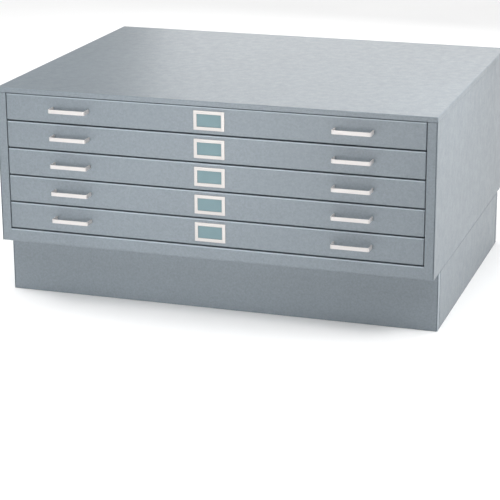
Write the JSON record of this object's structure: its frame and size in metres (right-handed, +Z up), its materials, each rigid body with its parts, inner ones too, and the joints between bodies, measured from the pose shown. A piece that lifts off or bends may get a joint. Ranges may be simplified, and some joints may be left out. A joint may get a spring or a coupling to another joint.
{
  "type": "flat file cabinet",
  "caption": "Steel flat file cabinet with wide shallow drawers on a closed base, with strap handles, label holders, roller runners and hinged plates that press the sheets flat.",
  "frame": {"origin": "on the floor, under the middle of the cabinet's bounding box", "axes": "+Z up, the drawers face -Y and open towards -Y, +X along the width, to the right of a person who stands in front"},
  "size_m": [1.181, 0.934, 0.575],
  "materials": {
    "grey_enamel": "semi-gloss cool grey enamel",
    "bright_chrome": "bright plated, softly brushed",
    "plated_steel": "zinc plated",
    "label_card": "matt blue-grey card"
  },
  "bodies": {
    "cabinet": {"top_panel": "grey_enamel", "left_side_panel": "grey_enamel", "right_side_panel": "grey_enamel", "back_panel": "grey_enamel", "bottom_rail": "grey_enamel", "left_runner_rack": "plated_steel", "right_runner_rack": "plated_steel", "base_front_panel": "grey_enamel", "base_left_panel": "grey_enamel", "base_right_panel": "grey_enamel", "base_back_panel": "grey_enamel", "front_left_bolt": "plated_steel", "front_right_bolt": "plated_steel", "back_left_bolt": "plated_steel", "back_right_bolt": "plated_steel"},
    "drawer_1": {"drawer_1_tray": "grey_enamel", "drawer_1_front": "grey_enamel", "drawer_1_handle_left": "bright_chrome", "drawer_1_handle_right": "bright_chrome", "drawer_1_label_holder": "bright_chrome", "drawer_1_label_card": "label_card"},
    "drawer_1_depressor": {"drawer_1_depressor": "grey_enamel"},
    "drawer_1_roller_left": {"drawer_1_roller_left": "plated_steel"},
    "drawer_1_roller_right": {"drawer_1_roller_right": "plated_steel"},
    "drawer_2": {"drawer_2_tray": "grey_enamel", "drawer_2_front": "grey_enamel", "drawer_2_handle_left": "bright_chrome", "drawer_2_handle_right": "bright_chrome", "drawer_2_label_holder": "bright_chrome", "drawer_2_label_card": "label_card"},
    "drawer_2_depressor": {"drawer_2_depressor": "grey_enamel"},
    "drawer_2_roller_left": {"drawer_2_roller_left": "plated_steel"},
    "drawer_2_roller_right": {"drawer_2_roller_right": "plated_steel"},
    "drawer_3": {"drawer_3_tray": "grey_enamel", "drawer_3_front": "grey_enamel", "drawer_3_handle_left": "bright_chrome", "drawer_3_handle_right": "bright_chrome", "drawer_3_label_holder": "bright_chrome", "drawer_3_label_card": "label_card"},
    "drawer_3_depressor": {"drawer_3_depressor": "grey_enamel"},
    "drawer_3_roller_left": {"drawer_3_roller_left": "plated_steel"},
    "drawer_3_roller_right": {"drawer_3_roller_right": "plated_steel"},
    "drawer_4": {"drawer_4_tray": "grey_enamel", "drawer_4_front": "grey_enamel", "drawer_4_handle_left": "bright_chrome", "drawer_4_handle_right": "bright_chrome", "drawer_4_label_holder": "bright_chrome", "drawer_4_label_card": "label_card"},
    "drawer_4_depressor": {"drawer_4_depressor": "grey_enamel"},
    "drawer_4_roller_left": {"drawer_4_roller_left": "plated_steel"},
    "drawer_4_roller_right": {"drawer_4_roller_right": "plated_steel"},
    "drawer_5": {"drawer_5_tray": "grey_enamel", "drawer_5_front": "grey_enamel", "drawer_5_handle_left": "bright_chrome", "drawer_5_handle_right": "bright_chrome", "drawer_5_label_holder": "bright_chrome", "drawer_5_label_card": "label_card"},
    "drawer_5_depressor": {"drawer_5_depressor": "grey_enamel"},
    "drawer_5_roller_left": {"drawer_5_roller_left": "plated_steel"},
    "drawer_5_roller_right": {"drawer_5_roller_right": "plated_steel"}
  },
  "joints": [
    {"name": "drawer_1_slide", "type": "slide", "parent": "cabinet", "child": "drawer_1", "axis": [0, -1, 0], "range_m": [0, 0.64]},
    {"name": "drawer_1_depressor_hinge", "type": "hinge", "parent": "drawer_1", "child": "drawer_1_depressor", "pos_m": [0, -0.407, 0.54], "axis": [1, 0, 0], "range_deg": [0, 20]},
    {"name": "drawer_1_roller_left_spin", "type": "hinge", "parent": "drawer_1", "child": "drawer_1_roller_left", "pos_m": [-0.5558, 0.382, 0.5233], "axis": [1, 0, 0], "continuous": true},
    {"name": "drawer_1_roller_right_spin", "type": "hinge", "parent": "drawer_1", "child": "drawer_1_roller_right", "pos_m": [0.5558, 0.382, 0.5233], "axis": [1, 0, 0], "continuous": true},
    {"name": "drawer_2_slide", "type": "slide", "parent": "cabinet", "child": "drawer_2", "axis": [0, -1, 0], "range_m": [0, 0.64]},
    {"name": "drawer_2_depressor_hinge", "type": "hinge", "parent": "drawer_2", "child": "drawer_2_depressor", "pos_m": [0, -0.407, 0.466], "axis": [1, 0, 0], "range_deg": [0, 20]},
    {"name": "drawer_2_roller_left_spin", "type": "hinge", "parent": "drawer_2", "child": "drawer_2_roller_left", "pos_m": [-0.5558, 0.382, 0.4493], "axis": [1, 0, 0], "continuous": true},
    {"name": "drawer_2_roller_right_spin", "type": "hinge", "parent": "drawer_2", "child": "drawer_2_roller_right", "pos_m": [0.5558, 0.382, 0.4493], "axis": [1, 0, 0], "continuous": true},
    {"name": "drawer_3_slide", "type": "slide", "parent": "cabinet", "child": "drawer_3", "axis": [0, -1, 0], "range_m": [0, 0.64]},
    {"name": "drawer_3_depressor_hinge", "type": "hinge", "parent": "drawer_3", "child": "drawer_3_depressor", "pos_m": [0, -0.407, 0.392], "axis": [1, 0, 0], "range_deg": [0, 20]},
    {"name": "drawer_3_roller_left_spin", "type": "hinge", "parent": "drawer_3", "child": "drawer_3_roller_left", "pos_m": [-0.5558, 0.382, 0.3753], "axis": [1, 0, 0], "continuous": true},
    {"name": "drawer_3_roller_right_spin", "type": "hinge", "parent": "drawer_3", "child": "drawer_3_roller_right", "pos_m": [0.5558, 0.382, 0.3753], "axis": [1, 0, 0], "continuous": true},
    {"name": "drawer_4_slide", "type": "slide", "parent": "cabinet", "child": "drawer_4", "axis": [0, -1, 0], "range_m": [0, 0.64]},
    {"name": "drawer_4_depressor_hinge", "type": "hinge", "parent": "drawer_4", "child": "drawer_4_depressor", "pos_m": [0, -0.407, 0.318], "axis": [1, 0, 0], "range_deg": [0, 20]},
    {"name": "drawer_4_roller_left_spin", "type": "hinge", "parent": "drawer_4", "child": "drawer_4_roller_left", "pos_m": [-0.5558, 0.382, 0.3013], "axis": [1, 0, 0], "continuous": true},
    {"name": "drawer_4_roller_right_spin", "type": "hinge", "parent": "drawer_4", "child": "drawer_4_roller_right", "pos_m": [0.5558, 0.382, 0.3013], "axis": [1, 0, 0], "continuous": true},
    {"name": "drawer_5_slide", "type": "slide", "parent": "cabinet", "child": "drawer_5", "axis": [0, -1, 0], "range_m": [0, 0.64]},
    {"name": "drawer_5_depressor_hinge", "type": "hinge", "parent": "drawer_5", "child": "drawer_5_depressor", "pos_m": [0, -0.407, 0.244], "axis": [1, 0, 0], "range_deg": [0, 20]},
    {"name": "drawer_5_roller_left_spin", "type": "hinge", "parent": "drawer_5", "child": "drawer_5_roller_left", "pos_m": [-0.5558, 0.382, 0.2273], "axis": [1, 0, 0], "continuous": true},
    {"name": "drawer_5_roller_right_spin", "type": "hinge", "parent": "drawer_5", "child": "drawer_5_roller_right", "pos_m": [0.5558, 0.382, 0.2273], "axis": [1, 0, 0], "continuous": true}
  ],
  "couplings": [
    {"joint": "drawer_1_roller_left_spin", "follows": "drawer_1_slide", "rad_per_m": 90.909},
    {"joint": "drawer_1_roller_right_spin", "follows": "drawer_1_slide", "rad_per_m": 90.909},
    {"joint": "drawer_2_roller_left_spin", "follows": "drawer_2_slide", "rad_per_m": 90.909},
    {"joint": "drawer_2_roller_right_spin", "follows": "drawer_2_slide", "rad_per_m": 90.909},
    {"joint": "drawer_3_roller_left_spin", "follows": "drawer_3_slide", "rad_per_m": 90.909},
    {"joint": "drawer_3_roller_right_spin", "follows": "drawer_3_slide", "rad_per_m": 90.909},
    {"joint": "drawer_4_roller_left_spin", "follows": "drawer_4_slide", "rad_per_m": 90.909},
    {"joint": "drawer_4_roller_right_spin", "follows": "drawer_4_slide", "rad_per_m": 90.909},
    {"joint": "drawer_5_roller_left_spin", "follows": "drawer_5_slide", "rad_per_m": 90.909},
    {"joint": "drawer_5_roller_right_spin", "follows": "drawer_5_slide", "rad_per_m": 90.909}
  ]
}
